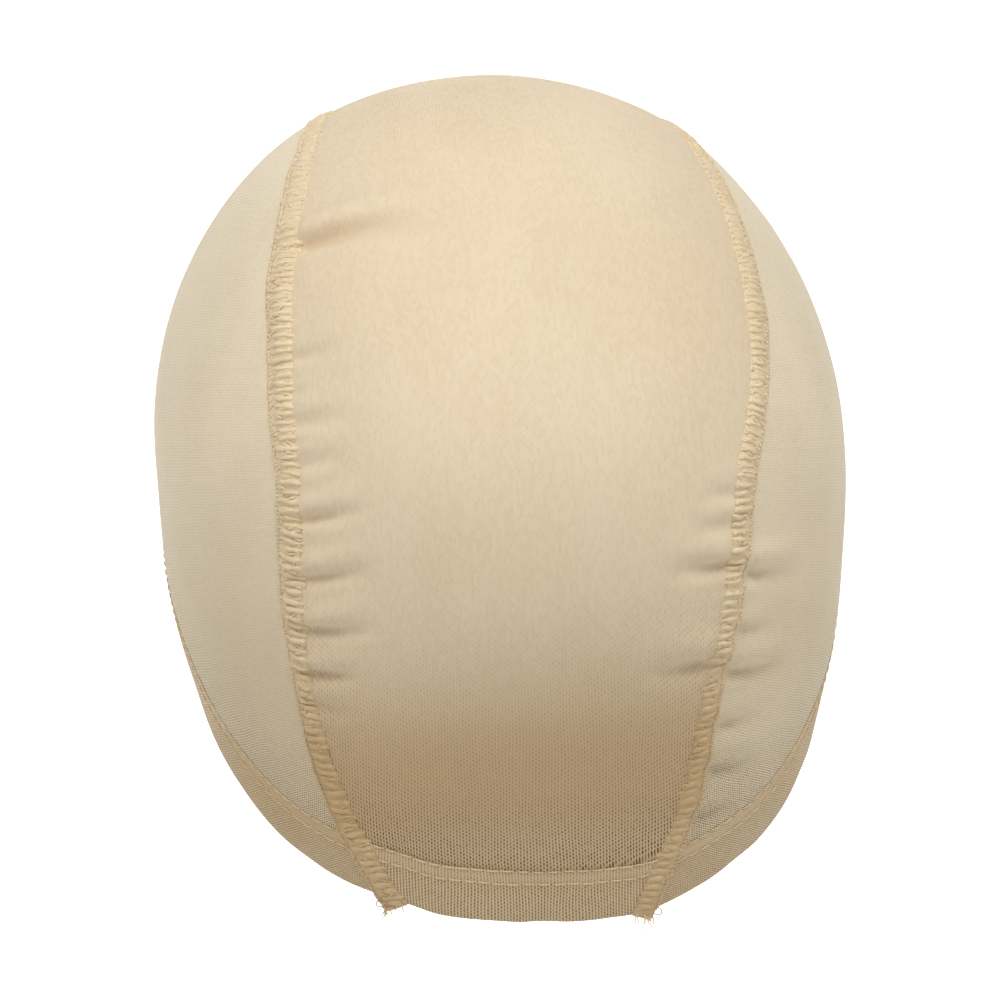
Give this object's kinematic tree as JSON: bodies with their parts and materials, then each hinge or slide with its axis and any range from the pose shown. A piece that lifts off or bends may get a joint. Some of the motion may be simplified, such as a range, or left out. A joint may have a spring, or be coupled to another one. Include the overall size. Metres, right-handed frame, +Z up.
{
  "type": "wig cap",
  "caption": "Stretch-net dome cap worn under a wig, in its worn shape: centre panel, side panels, overlocked outside seams and a stitched hem all round.",
  "frame": {"origin": "innermost point of the crown, where the cap sits on the wearer's head", "axes": "+Z up along the upright head, +Y to the back of the head, +X to the wearer's left"},
  "size_m": [0.1505, 0.1899, 0.1831],
  "materials": {
    "net_center": "sheer beige stretch net, lengthwise wales, soft sheen",
    "net_side": "sheer beige stretch net, fine cross courses, soft sheen",
    "net_hem": "doubled beige stretch net, two rows of stitches, matte",
    "seam_thread": "cream overlock thread over net, matte"
  },
  "bodies": {
    "root": {"center_panel": "net_center", "hem_front": "net_hem", "hem_back": "net_hem", "side_panel_left": "net_side", "hem_left": "net_hem", "seam_left": "seam_thread", "side_panel_right": "net_side", "hem_right": "net_hem", "seam_right": "seam_thread"}
  },
  "joints": []
}
